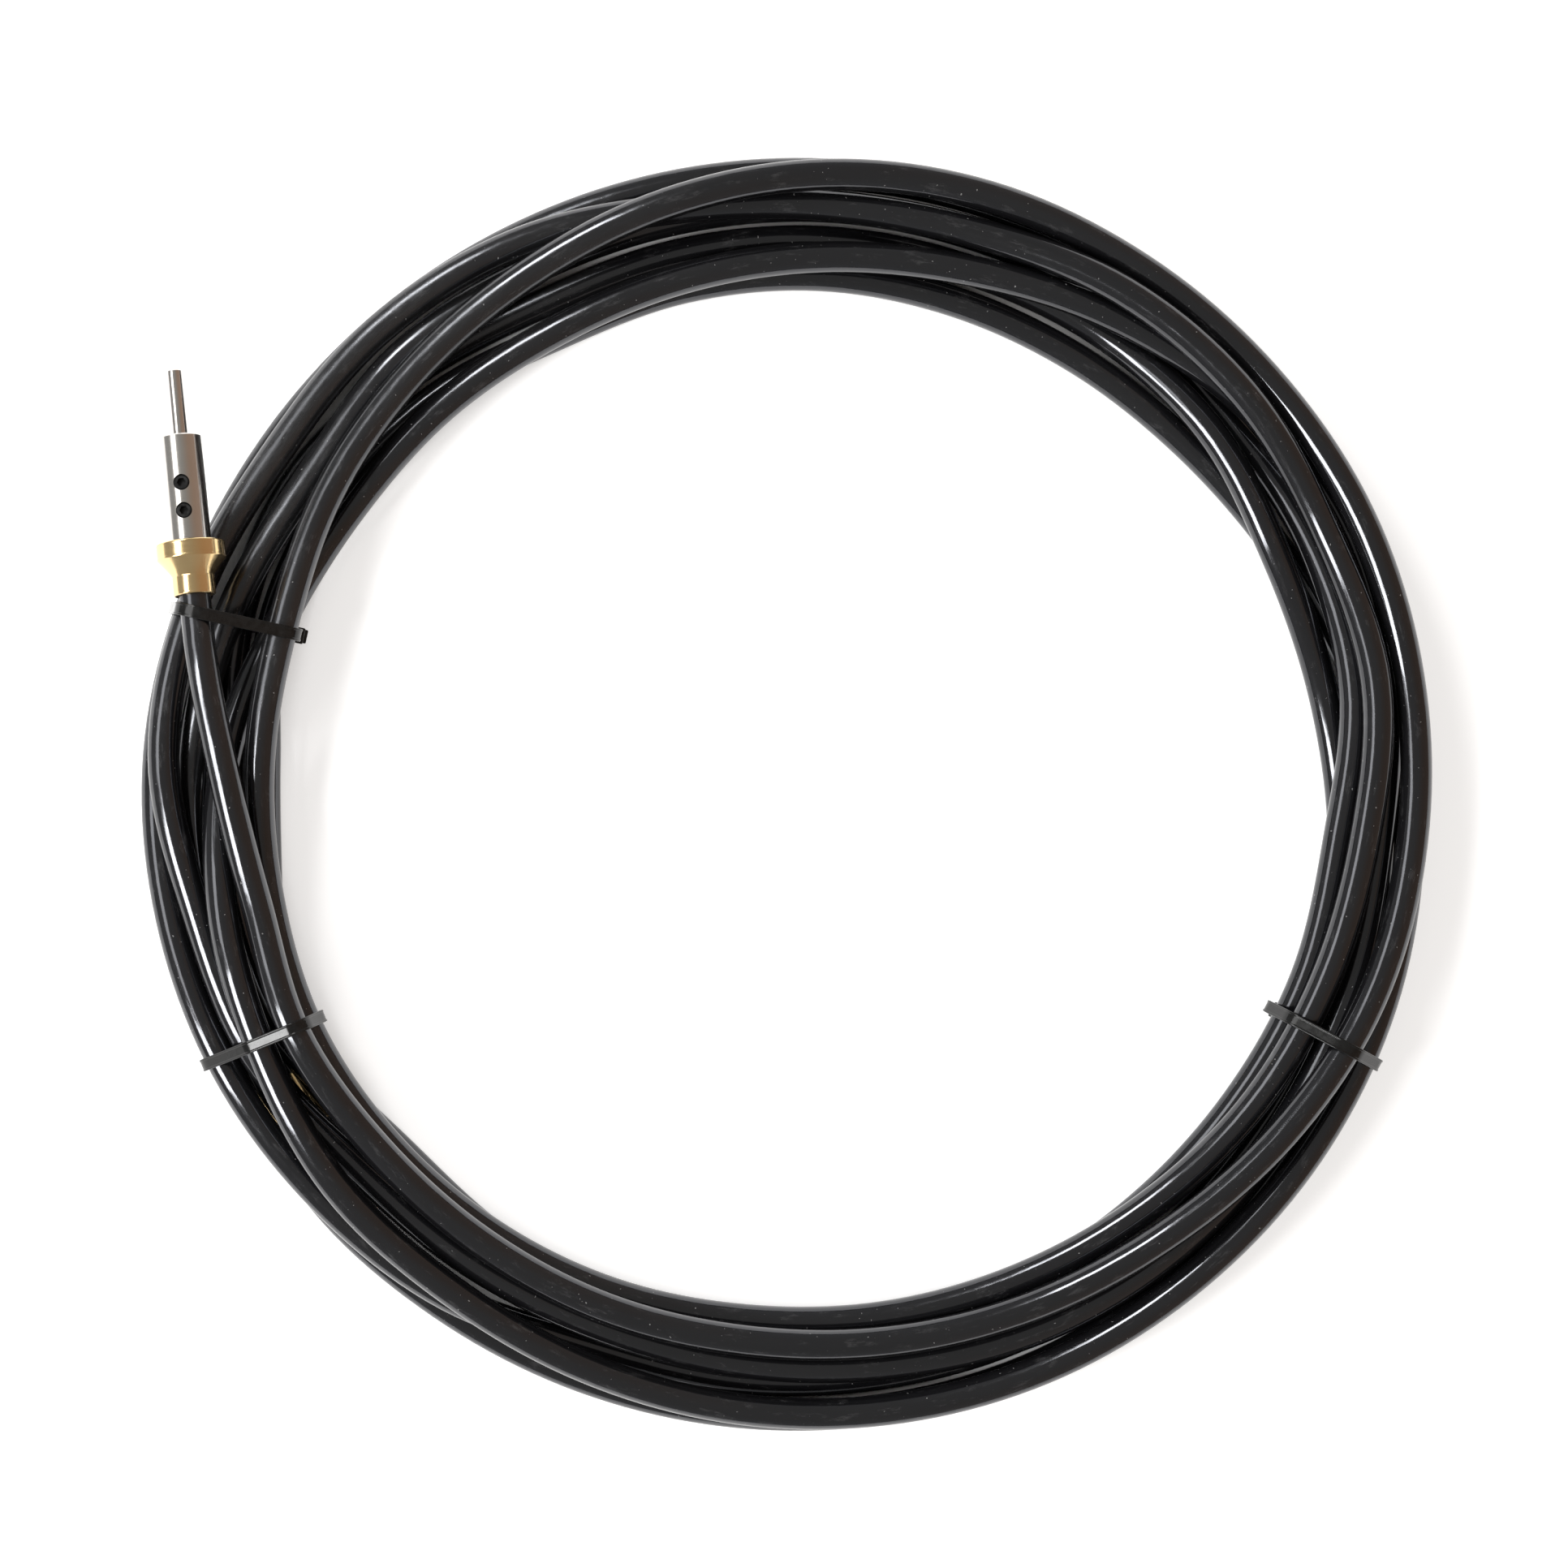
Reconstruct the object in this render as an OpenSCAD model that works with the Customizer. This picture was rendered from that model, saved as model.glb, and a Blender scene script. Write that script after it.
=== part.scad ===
// Flexible rotary drive shaft, coiled and tied.
// A wire core turns inside a plastic casing. At each end a brass ferrule closes the casing and a
// coupler is clamped on the core: one holds the drive pin, the other holds the tool stud.
// Millimetres and degrees. The coil lies on z = 0, round the z axis.

/* [Casing and core] */
// Outside diameter of the casing
casing_d = 12; // [10:0.5:14]
// Wall of the casing
casing_wall = 1.75; // [1:0.25:2.5]
// Diameter of the wire core
core_d = 7; // [5:0.5:8]

/* [Coil] */
// Radius of the coil at lane 0
coil_r = 222; // [180:2:260]
// Width of a lane beyond the casing, which spreads the strands sideways
lane_gap = 0.7; // [0.5:0.1:2]
// Room that two strands keep while they settle on each other
strand_gap = 1.4; // [1.2:0.1:2]
// Share of the casing's diameter that is cut flat where it lies
flat_share = 0.1; // [0:0.02:0.14]

/* [Drive end] */
// Azimuth at which the casing leaves the coil
drive_azimuth = 161; // [150:1:170]
// Distance from the coil's axis to the mouth of the drive ferrule
drive_mouth_r = 234.6; // [230:0.2:250]
// Height of that mouth
drive_mouth_z = 46; // [44:0.5:56]
// Direction of the drive axis, seen from above
drive_heading = 96; // [80:1:110]
// Slope of the drive axis below level
drive_droop = 4.5; // [0:0.5:6]

/* [Ferrules] */
// Depth of the casing in each ferrule
casing_seat = 12; // [8:0.5:14]
// Neck of the drive ferrule
drive_neck_d = 16; // [15:0.5:20]
drive_neck_l = 7.5; // [4:0.5:12]
// Flare between the neck and the collar
drive_flare_l = 6; // [3:0.5:8]
// Collar of the drive ferrule
drive_collar_d = 26; // [22:0.5:30]
drive_collar_l = 6.5; // [4:0.5:10]
// Sleeve at the tool end
tool_sleeve_d = 15; // [14:0.5:20]
tool_sleeve_l = 22; // [18:0.5:28]
// Room that the coil keeps round the tool end
tool_end_gap = 0.5; // [0.5:0.1:2]
// Thickness of the thrust washers
washer_t = 0.8; // [0.5:0.1:1.5]
// Outside diameter of the thrust washers
washer_d = 13; // [11:0.5:14]

/* [Couplers] */
// Drive coupler
drive_coupler_d = 16; // [15:0.5:22]
drive_coupler_l = 40; // [38:1:50]
// Depth of the core in the drive coupler
drive_core_seat = 15; // [14:0.5:18]
// Tool coupler
tool_coupler_d = 14; // [13:0.5:18]
tool_coupler_l = 26; // [24:1:34]
// Depth of the core in the tool coupler
tool_core_seat = 11; // [10:0.5:12]
// Metal left between the two bores of a coupler
web = 2; // [1:0.5:3]

/* [Pin and stud] */
// Drive pin
pin_d = 6; // [5:0.5:8]
pin_free_l = 25.5; // [15:0.5:35]
// Tool stud
stud_d = 8; // [6:0.5:8]
stud_free_l = 14; // [8:0.5:20]
// Step up from the clamped seat of each to its free end
shoulder = 0.2; // [0.16:0.02:0.4]
// Chamfer at the free ends and on the ferrules
chamfer = 0.5; // [0.2:0.1:0.8]

/* [Set screws] */
// Set screws of the drive coupler, and their sockets
drive_screw_d = 6; // [4:0.5:7]
drive_key = 3; // [2:0.5:3.5]
drive_key_depth = 2.2; // [1:0.1:2.5]
// Distance of each from the coupler's inner face
drive_core_screw_at = 10.6; // [7:0.1:11]
drive_pin_screw_at = 21.3; // [21:0.1:36]
// Set screws of the tool coupler, and their sockets
tool_screw_d = 5; // [3:0.5:5]
tool_key = 2.5; // [1.5:0.5:2.5]
tool_key_depth = 1.4; // [0.8:0.1:1.6]
// Distance of each from the coupler's inner face
tool_core_screw_at = 6; // [5:0.1:8]
tool_stud_screw_at = 19; // [17:0.1:22]
// Depth of each screw's top below the coupler's surface
screw_sunk = 0.35; // [0.2:0.05:0.6]

/* [Cable ties] */
// Width and thickness of the strap
tie_w = 4.8; // [3.6:0.4:6]
tie_t = 1.2; // [1:0.1:1.6]
// Room between a strap and the strands inside it
tie_gap = 0.6; // [0.5:0.1:1]
// Head of a tie: along the strap, across it and outward
head_l = 7; // [6:0.5:9]
head_w = 6.2; // [6:0.2:8]
head_t = 4.6; // [3.6:0.2:6]
// Stub of the strap that is left beyond the head
stub_l = 2.4; // [1:0.2:5]

/* [Fits] */
// Radial clearance of the casing in a ferrule
casing_fit = 0.1; // [0.05:0.05:0.2]
// Radial clearance of the turning core in a ferrule and a washer
running_fit = 0.08; // [0.04:0.01:0.1]
// Radial clearance of the core, the pin and the stud in a coupler
clamp_fit = 0.02; // [0.01:0.01:0.05]
// Radial clearance of a set screw in its hole
screw_fit = 0.05; // [0.03:0.01:0.1]
// Room between faces that turn past each other
face_gap = 0.1; // [0.05:0.05:0.3]
// Room at the bottom of a bore, and between a screw and what it clamps
end_gap = 0.05; // [0.03:0.01:0.2]

/* [Hidden] */
$fn = 96;
overcut = 1;

// Lanes: where each strand runs, in lane widths out from coil_r, every lane_step degrees
lane_step = 30;
lanes_start = 150;
lanes = concat(
    [2.4],
    [-0.7, -1.5, -1.5, -1.2, -0.3, 0.7, 1.5, 1.8, 1.8, 1.1, 0.1, -0.9],
    [-1.6, -1.7, -1.6, -1.6, -1.2, -0.4, 0.2, 0.6, 0.6, 0.5, 0.4, 0.4],
    [0.5, 0.1, -0.5, -0.1, 0.6, 0.9, 0.9, 0.7, -0.2, -1.2, -1.8, -1.6],
    [-0.8, -0.3, 0.2, 1.0, 1.5, 1.6, 1.5, 1.4, 1.4, 1.3, 1.3, 1.4],
    [1.5, 1.0, 0.5, 0.4, 0.5, -0.1, -0.6, -0.6, -0.3, -0.2, 0.1, 0.6],
    [-0.3, -0.5, -0.6, -0.6, -0.8, -0.7, -0.3, 0.3, 0.5, 0.5, 0.3, -0.1],
    [0.8, 1.0, 1.2, 1.4, 1.4, 1.1, 0.4, -0.8, -1.4, -1.4, -0.8, -0.5],
    [-0.5, -0.5, -0.3]);
// Innermost and outermost lanes that a strand may take, every lane_step degrees from azimuth 0
inner_lanes = [-0.6, -0.9, -1.4, -1.5, -1.8, -1.7, -1.7, -1.6, -1.6, -1.6, -1.2, -0.8];
outer_lanes = [1.6, 1.8, 1.8, 1.5, 1.4, 1.4, 1.6, 1.2, 1.2, 1.4, 1.6, 1.7];
// Storeys: which turn lies on which, for the drive end's tail, seven turns and the tool end
storeys = [5.5, 5.5, 4.5, 2.6, 3.4, 1.2, 2.0, 0.6, 0];

// Azimuth of each tie, and its turn out of the radial plane
tie_by_drive_end_at = 162.2;
tie_by_drive_end_turn = 5.6;
tie_left_at = 205;
tie_left_turn = -2.5;
tie_right_at = 336.3;
tie_right_turn = -4.4;
// Slack of the right tie towards the coil's axis
tie_right_slack = 2;
// Side of the bundle that the heads face, and how far down its straight run of strap each stands
head_side = 180;
head_share = 0.5;
tie_right_head_share = 0.3;

// Stations: the points of the casing's centreline, turn_stations to a turn
turn_stations = 24;
station_step = 360 / turn_stations;
last_station = 171;
// Two more stations hold the room of the straight tool end
end_stations = 2;
// Where the coil's axis stands, so that the whole part is centred on the z axis
coil_axis = [-0.2, -1.1, 0];
station_count = last_station + end_stations + 1;

// Settling: passes that pull the strands down, then passes that only part them
pull_passes = 60;
part_passes = 50;
push_share = 0.45;
sink = 0.53;
smoothing = 0.2;
storey_h = 6.8;
storey_floor = 0.3;

strand_pitch = casing_d + strand_gap;
lane_width = casing_d + lane_gap;
floor_z = casing_d * (0.5 - flat_share);
tie_floor_z = casing_d / 2 + tie_gap + tie_t;
tool_end_r = max(tool_sleeve_d, tool_coupler_d) / 2 + tool_end_gap;
tool_floor_z = tool_end_r + face_gap;
tool_bulk = tool_end_r - casing_d / 2;
smallest = 0.001;

function azimuth(i) = drive_azimuth + i * station_step;
function sum(vectors) = len(vectors) == 0 ? [0, 0] : [for (v = vectors) 1] * vectors;
function within(low, value, high) = max(low, min(high, value));
function spot(azimuth, r, z) = [r * cos(azimuth), r * sin(azimuth), z];
function unit(v) = v / norm(v);
function turn_angle(a) = a - 360 * floor(a / 360);
function apart(a, b) = min(turn_angle(a - b), turn_angle(b - a));

// A value between those of a closed table, which has one for each lane_step
function rim(table, azimuth) =
    let (
        place = turn_angle(azimuth) / lane_step,
        i = floor(place),
        share = place - i
    )
    table[i % len(table)] * (1 - share) + table[(i + 1) % len(table)] * share;

// A smooth curve through the lanes
function lane(azimuth) =
    let (
        place = (azimuth - lanes_start) / lane_step,
        i = floor(place),
        u = place - i,
        a = lanes[within(0, i - 1, len(lanes) - 1)],
        b = lanes[within(0, i, len(lanes) - 1)],
        c = lanes[within(0, i + 1, len(lanes) - 1)],
        d = lanes[within(0, i + 2, len(lanes) - 1)]
    )
    (2 * b + (c - a) * u + (2 * a - 5 * b + 4 * c - d) * u * u + (3 * b - a - 3 * c + d) * u * u * u) / 2;

function storey(azimuth) = storeys[azimuth < 180 ? 0 : floor(azimuth / 360 + 0.5)];

function by_a_tie(azimuth) =
    min([for (at = [tie_by_drive_end_at, tie_left_at, tie_right_at]) apart(azimuth, at)]) < station_step;

function station_floor(i) =
    (i >= last_station ? tool_floor_z : by_a_tie(azimuth(i)) ? tie_floor_z : floor_z)
    + storey_floor * storey(azimuth(i));

lane_rs = [for (i = [0 : station_count - 1]) coil_r + lane_width * lane(azimuth(i))];
floors = [for (i = [0 : station_count - 1]) station_floor(i)];
inner_rs = [for (i = [0 : station_count - 1]) coil_r + lane_width * rim(inner_lanes, azimuth(i))];
outer_rs = [for (i = [0 : station_count - 1]) coil_r + lane_width * rim(outer_lanes, azimuth(i))];
bulks = [for (i = [0 : station_count - 1]) i > last_station ? tool_bulk : 0];

function middles(list) = [for (i = [0 : len(list) - 2]) (list[i] + list[i + 1]) / 2];

// The push on place i of a list of [radius, height] from the strands that are too near to it
function push(places, sizes, i) = sum([
    for (j = [i % turn_stations : turn_stations : len(places) - 1])
        let (
            away = places[i] - places[j],
            distance = norm(away),
            short = strand_pitch + sizes[i] + sizes[j] - distance
        )
        if (j != i && short > 0) away * (short * push_share / max(distance, smallest))
]);

// Strands sink from their storeys, part where they meet and follow the bends of their lanes
function settled(places, pass = 0) =
    pass == pull_passes + part_passes ? places :
    let (
        halves = middles(places),
        half_sizes = middles(bulks),
        half_pushes = concat([[0, 0]], [for (i = [0 : len(halves) - 1]) push(halves, half_sizes, i)], [[0, 0]]),
        pulls = pass < pull_passes,
        strays = [for (i = [0 : len(places) - 1]) places[i] - [lane_rs[i], 0]],
        drop = pulls ? sink * min(1, 3 * (1 - pass / pull_passes)) : 0
    )
    settled([
        for (i = [0 : len(places) - 1])
            let (
                pushed = places[i] + push(places, bulks, i) + (half_pushes[i] + half_pushes[i + 1]) / 2,
                inside = i > 0 && i < len(places) - 1,
                bend = pulls && inside ? (strays[i - 1] + strays[i + 1]) / 2 - strays[i] : [0, 0],
                moved = pushed + smoothing * bend - [0, drop]
            )
            i == 0 ? places[0] :
            [within(inner_rs[i], moved[0], outer_rs[i]), max(floors[i], moved[1])]
    ], pass + 1);

// Centreline of the casing from end to end, with the straight ends
drive_mouth = spot(drive_azimuth, drive_mouth_r, drive_mouth_z);
drive_axis = [cos(drive_heading) * cos(drive_droop), sin(drive_heading) * cos(drive_droop), -sin(drive_droop)];

function coil_stations() =
    let (
        start = [for (i = [0 : station_count - 1])
            i == 0 ? [drive_mouth_r, drive_mouth_z] : [lane_rs[i], floors[i] + storey_h * storey(azimuth(i))]],
        places = settled(start)
    )
    [for (i = [0 : station_count - 1]) spot(azimuth(i), places[i][0], places[i][1])];

function tool_axis(stations) = unit(stations[last_station + 1] - stations[last_station]);
function tool_mouth(stations) = stations[last_station] + casing_d * tool_axis(stations);

function route(stations) = concat(
    [drive_mouth + casing_seat * drive_axis, drive_mouth, drive_mouth - casing_d * drive_axis],
    [for (i = [1 : last_station]) stations[i]],
    [tool_mouth(stations), tool_mouth(stations) + casing_seat * tool_axis(stations)]);

// Rings of six corners along a route, with flats above and below
sides = 6;
function ring_direction(path, i) = unit(path[min(i + 1, len(path) - 1)] - path[max(i - 1, 0)]);
function ring(path, i, r, lowest) =
    let (
        along = ring_direction(path, i),
        side = unit(cross([0, 0, 1], along)),
        up = cross(along, side)
    )
    [for (k = [0 : sides - 1])
        let (corner = path[i] + r * (cos(k * 360 / sides) * side + sin(k * 360 / sides) * up))
        [corner[0], corner[1], max(lowest, corner[2])]];
function rings(path, r, lowest) = [for (i = [0 : len(path) - 1]) each ring(path, i, r, lowest)];
function skin(count, first, inward) = [
    for (i = [0 : count - 2], k = [0 : sides - 1])
        let (
            a = first + i * sides + k,
            b = first + i * sides + (k + 1) % sides,
            c = b + sides,
            d = a + sides
        )
        each (inward ? [[a, b, c], [a, c, d]] : [[a, c, b], [a, d, c]])
];
function annulus(outer, inner, flip) = [
    for (k = [0 : sides - 1])
        let (
            a = outer + k,
            b = outer + (k + 1) % sides,
            c = inner + (k + 1) % sides,
            d = inner + k
        )
        each (flip ? [[a, c, b], [a, d, c]] : [[a, b, c], [a, c, d]])
];

// A rod along a route, and a hollow one
module rod(path, r) {
    count = len(path);
    last = (count - 1) * sides;
    polyhedron(
        rings(path, r, 0),
        concat(
            skin(count, 0, false),
            [for (k = [1 : sides - 2]) [0, k, k + 1]],
            [for (k = [1 : sides - 2]) [last, last + k + 1, last + k]]),
        convexity = 10);
}

module hose(path, r, bore_r) {
    count = len(path);
    bore = count * sides;
    last = (count - 1) * sides;
    polyhedron(
        concat(rings(path, r, 0), rings(path, bore_r, 0)),
        concat(
            skin(count, 0, false),
            skin(count, bore, true),
            annulus(0, bore, false),
            annulus(last, bore + last, true)),
        convexity = 10);
}

// Where the straight route of an end stands: its own z runs out of the casing, its -x is up
module at_end(mouth, axis) {
    translate(coil_axis + mouth)
        rotate([0, acos(axis[2]), atan2(axis[1], axis[0])])
            children();
}
module at_drive_end() {
    at_end(drive_mouth, drive_axis) children();
}
module at_tool_end() {
    stations = coil_stations();
    at_end(tool_mouth(stations), tool_axis(stations)) children();
}

// Places along an end, from the mouth of its ferrule
drive_ferrule_l = drive_neck_l + drive_flare_l + drive_collar_l;
drive_coupler_at = drive_ferrule_l + washer_t + face_gap;
tool_coupler_at = tool_sleeve_l + washer_t + face_gap;
drive_pin_seat = drive_coupler_l - drive_core_seat - web;
stud_seat = tool_coupler_l - tool_core_seat - web;

module bore(at, depth, r) {
    translate([0, 0, at])
        cylinder(h = depth, r = r);
}

// A round bar with a slimmer seat, a free end beyond the shoulder and its far edge chamfered
module stepped_bar(at, seat_l, free_l, r) {
    seat_r = r - shoulder;
    length = seat_l + free_l;
    translate([0, 0, at])
        rotate_extrude()
            polygon([
                [0, 0], [seat_r, 0], [seat_r, seat_l], [r, seat_l],
                [r, length - chamfer], [r - chamfer, length], [0, length]]);
}

// A round bar with its far edge chamfered
module bar(at, length, r) {
    translate([0, 0, at])
        rotate_extrude()
            polygon([[0, 0], [r, 0], [r, length - chamfer], [r - chamfer, length], [0, length]]);
}

// The bores of a ferrule: the casing's seat, then the hole that the core turns in
module ferrule_bores(length) {
    bore(-overcut, overcut + casing_seat, casing_d / 2 + casing_fit);
    bore(0, length + overcut, core_d / 2 + running_fit);
}

module washer(at) {
    difference() {
        bore(at, washer_t, washer_d / 2);
        bore(at - overcut, washer_t + 2 * overcut, core_d / 2 + running_fit);
    }
}

// A coupler along z, with a bore for the core, one for the tool and a hole for each set screw
module coupler(at, length, d, core_seat, tool_r, screws, screw_d) {
    difference() {
        bar(at, length, d / 2);
        bore(at - overcut, overcut + core_seat + end_gap, core_d / 2 + clamp_fit);
        translate([0, 0, at + core_seat + web])
            cylinder(h = length, r = tool_r + clamp_fit);
        for (place = screws)
            translate([0, 0, at + place])
                rotate([0, -90, 0])
                    cylinder(h = d, d = screw_d + 2 * screw_fit);
    }
}

// A headless set screw that points up out of a coupler, with a hexagon socket
module set_screw(at, top_r, held_r, d, key, key_depth) {
    translate([0, 0, at])
        rotate([0, -90, 0])
            difference() {
                bar(held_r + end_gap, top_r - held_r - end_gap, d / 2);
                translate([0, 0, top_r - key_depth])
                    rotate([0, 0, 30])
                        cylinder(h = key_depth + overcut, r = key / 2 / cos(30), $fn = 6);
            }
}

// Where the casing's route passes beside a tie's plane, as [distance out, height]. The plane stands
// on the coil's middle circle at an azimuth and is turned out of the radial one
function crossings(path, azimuth, turn, offset) =
    let (
        middle = spot(azimuth, coil_r, 0),
        out = [cos(azimuth + turn), sin(azimuth + turn)]
    )
    [for (i = [0 : len(path) - 2])
        let (
            a = path[i] - middle,
            b = path[i + 1] - middle,
            before = cross([a[0], a[1]], out) - offset,
            after = cross([b[0], b[1]], out) - offset,
            point = a + (b - a) * before / (before - after)
        )
        if (before * after < 0 && [a[0], a[1]] * out > -coil_r) [[point[0], point[1]] * out, point[2]]];

// A closed strap round the strands. Its head stands on the straight run of strap that follows the
// strand farthest towards head_side
module tie(azimuth, turn, slack, share) {
    path = route(coil_stations());
    places = [for (
        offset = [-tie_w / 2, tie_w / 2],
        place = crossings(path, azimuth, turn, offset),
        loose = [0, slack]) place - [loose, 0]];
    room = casing_d / 2 + tie_gap;
    heading = [cos(head_side), sin(head_side)];
    onward = [-heading[1], heading[0]];
    reach = max([for (place = places) place * heading]);
    start = [for (place = places) if (place * heading == reach) place][0];
    runs = [for (place = places) if (norm(place - start) > casing_d / 2) place - start];
    bends = [for (run = runs) turn_angle(atan2(-run * heading, run * onward))];
    straight = [for (i = [0 : len(runs) - 1]) if (bends[i] == min(bends)) runs[i]][0];
    module wrap(r) {
        hull()
            for (place = places)
                translate(place)
                    circle(r, $fn = 48);
    }
    translate(coil_axis + spot(azimuth, coil_r, 0))
        rotate([90, 0, azimuth + turn]) {
            linear_extrude(tie_w, center = true)
                difference() {
                    wrap(room + tie_t);
                    wrap(room);
                }
            translate(start + straight * share)
                rotate([0, 0, atan2(-straight[0], straight[1])])
                    translate([room, 0, 0]) {
                        translate([0, -head_l / 2, -head_w / 2])
                            cube([head_t, head_l, head_w]);
                        translate([head_t / 2 - tie_t / 2, head_l / 2 - smallest, -tie_w / 2])
                            cube([tie_t, stub_l + smallest, tie_w]);
                    }
        }
}

module casing() {
    color("#191919")
        translate(coil_axis)
            hose(route(coil_stations()), casing_d / 2, casing_d / 2 - casing_wall);
}

module core() {
    color("#8f8f8b")
        translate(coil_axis)
            rod(route(coil_stations()), core_d / 2);
}

module drive_ferrule() {
    neck_r = drive_neck_d / 2;
    collar_r = drive_collar_d / 2;
    color("#c9a24e")
        at_drive_end()
            difference() {
                rotate_extrude()
                    polygon([
                        [0, 0], [neck_r, 0], [neck_r, drive_neck_l],
                        [collar_r - chamfer, drive_neck_l + drive_flare_l],
                        [collar_r, drive_neck_l + drive_flare_l + chamfer],
                        [collar_r, drive_ferrule_l - chamfer],
                        [collar_r - chamfer, drive_ferrule_l], [0, drive_ferrule_l]]);
                ferrule_bores(drive_ferrule_l);
            }
}

module drive_thrust_washer() {
    color("#b9b9b4")
        at_drive_end()
            washer(drive_ferrule_l);
}

module drive_core_end() {
    start = casing_seat + end_gap;
    color("#8f8f8b")
        at_drive_end()
            bore(start, drive_coupler_at + drive_core_seat - start, core_d / 2);
}

module drive_coupler() {
    color("#b4b2ac")
        at_drive_end()
            coupler(drive_coupler_at, drive_coupler_l, drive_coupler_d, drive_core_seat, pin_d / 2 - shoulder,
                [drive_core_screw_at, drive_pin_screw_at], drive_screw_d);
}

module drive_pin() {
    color("#c4c4c0")
        at_drive_end()
            stepped_bar(drive_coupler_at + drive_coupler_l - drive_pin_seat + end_gap,
                drive_pin_seat - end_gap, pin_free_l, pin_d / 2);
}

module drive_core_screw() {
    color("#1d1d20")
        at_drive_end()
            set_screw(drive_coupler_at + drive_core_screw_at, drive_coupler_d / 2 - screw_sunk, core_d / 2,
                drive_screw_d, drive_key, drive_key_depth);
}

module drive_pin_screw() {
    color("#1d1d20")
        at_drive_end()
            set_screw(drive_coupler_at + drive_pin_screw_at, drive_coupler_d / 2 - screw_sunk,
                pin_d / 2 - shoulder,
                drive_screw_d, drive_key, drive_key_depth);
}

module tool_ferrule() {
    sleeve_r = tool_sleeve_d / 2;
    color("#c9a24e")
        at_tool_end()
            difference() {
                bar(0, tool_sleeve_l, sleeve_r);
                ferrule_bores(tool_sleeve_l);
            }
}

module tool_thrust_washer() {
    color("#b9b9b4")
        at_tool_end()
            washer(tool_sleeve_l);
}

module tool_core_end() {
    start = casing_seat + end_gap;
    color("#8f8f8b")
        at_tool_end()
            bore(start, tool_coupler_at + tool_core_seat - start, core_d / 2);
}

module tool_coupler() {
    color("#b4b2ac")
        at_tool_end()
            coupler(tool_coupler_at, tool_coupler_l, tool_coupler_d, tool_core_seat, stud_d / 2 - shoulder,
                [tool_core_screw_at, tool_stud_screw_at], tool_screw_d);
}

module tool_stud() {
    color("#c4c4c0")
        at_tool_end()
            stepped_bar(tool_coupler_at + tool_coupler_l - stud_seat + end_gap,
                stud_seat - end_gap, stud_free_l, stud_d / 2);
}

module tool_core_screw() {
    color("#1d1d20")
        at_tool_end()
            set_screw(tool_coupler_at + tool_core_screw_at, tool_coupler_d / 2 - screw_sunk, core_d / 2,
                tool_screw_d, tool_key, tool_key_depth);
}

module tool_stud_screw() {
    color("#1d1d20")
        at_tool_end()
            set_screw(tool_coupler_at + tool_stud_screw_at, tool_coupler_d / 2 - screw_sunk,
                stud_d / 2 - shoulder,
                tool_screw_d, tool_key, tool_key_depth);
}

module tie_by_drive_end() {
    color("#202020")
        tie(tie_by_drive_end_at, tie_by_drive_end_turn, 0, head_share);
}

module tie_left() {
    color("#202020")
        tie(tie_left_at, tie_left_turn, 0, head_share);
}

module tie_right() {
    color("#202020")
        tie(tie_right_at, tie_right_turn, tie_right_slack, tie_right_head_share);
}

// Least distance from a point to a stretch of the route
function reach_to(p, a, b) =
    let (share = within(0, (p - a) * (b - a) / ((b - a) * (b - a)), 1))
    norm(p - a - share * (b - a));

// Least room between the casing's strands, on four points a station
function least_gap(path) = min([
    for (i = [0 : len(path) - 2], quarter = [0 : 3])
        let (p = path[i] + (path[i + 1] - path[i]) * quarter / 4)
        for (turn = [1 : ceil(len(path) / turn_stations)], k = [-2 : 2])
            let (j = i + turn * turn_stations + k)
            if (j < len(path) - 1) reach_to(p, path[j], path[j + 1])
]) - casing_d;

union() {  // casing
    path = route(coil_stations());
    lengths = [for (i = [1 : len(path) - 1]) norm(path[i] - path[i - 1])];
    echo(least_gap = least_gap(path), casing_length = [for (l = lengths) 1] * lengths, rings = len(path));
}

casing();
core();
drive_ferrule();
drive_thrust_washer();
drive_core_end();
drive_coupler();
drive_pin();
drive_core_screw();
drive_pin_screw();
tool_ferrule();
tool_thrust_washer();
tool_core_end();
tool_coupler();
tool_stud();
tool_core_screw();
tool_stud_screw();
tie_by_drive_end();
tie_left();
tie_right();
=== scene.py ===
"""A coiled flexible drive shaft: its hose, wire core, cable ties, fittings, light and floor."""

import math

import bpy
import numpy as np
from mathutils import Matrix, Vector


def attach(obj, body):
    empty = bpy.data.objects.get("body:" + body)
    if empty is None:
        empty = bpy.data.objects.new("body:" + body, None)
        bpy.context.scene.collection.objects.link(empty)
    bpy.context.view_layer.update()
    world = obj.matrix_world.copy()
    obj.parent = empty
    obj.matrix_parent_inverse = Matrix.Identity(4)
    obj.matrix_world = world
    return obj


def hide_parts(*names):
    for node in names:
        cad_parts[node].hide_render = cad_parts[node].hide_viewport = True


MM = 0.001
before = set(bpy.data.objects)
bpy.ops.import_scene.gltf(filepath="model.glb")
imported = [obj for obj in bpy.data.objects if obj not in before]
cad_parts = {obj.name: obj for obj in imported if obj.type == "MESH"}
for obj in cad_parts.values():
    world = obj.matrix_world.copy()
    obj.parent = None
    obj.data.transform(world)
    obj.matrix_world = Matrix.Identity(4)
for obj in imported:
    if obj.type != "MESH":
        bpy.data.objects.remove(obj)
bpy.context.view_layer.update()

# ---------------------------------------------------------------- the part's sizes, in millimetres

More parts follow.
